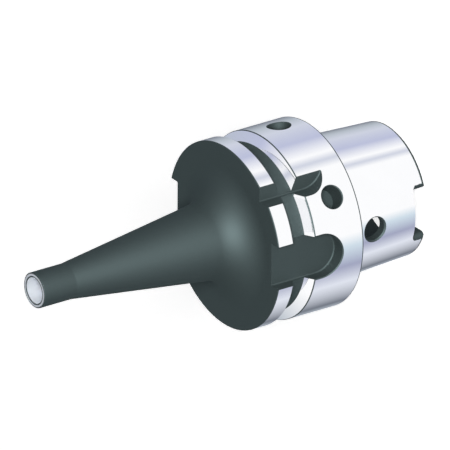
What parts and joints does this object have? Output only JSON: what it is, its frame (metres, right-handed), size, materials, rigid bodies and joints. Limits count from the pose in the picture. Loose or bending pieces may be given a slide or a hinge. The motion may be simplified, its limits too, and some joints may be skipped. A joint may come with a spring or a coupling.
{
  "type": "endmill holder",
  "caption": "Endmill holder with a hollow taper shank, a grooved collar with keyways, and a slender conical nose that grips a cutter in a plain bore.",
  "frame": {"origin": "on the axis in the gauge plane, where the collar's rear face meets the spindle", "axes": "+Z along the nose to the cutter's end, +X through the keyway and the access hole that the picture shows, +Y to the side of the orientation notch"},
  "size_m": [0.05, 0.05, 0.11],
  "materials": {
    "holder_steel": "hardened steel, ground bright on the taper, gauge face, collar and groove flanks, blackened on the nose, the collar's front face, the groove's floor and the milled cuts"
  },
  "bodies": {
    "root": {"holder_body": "holder_steel"}
  },
  "joints": []
}
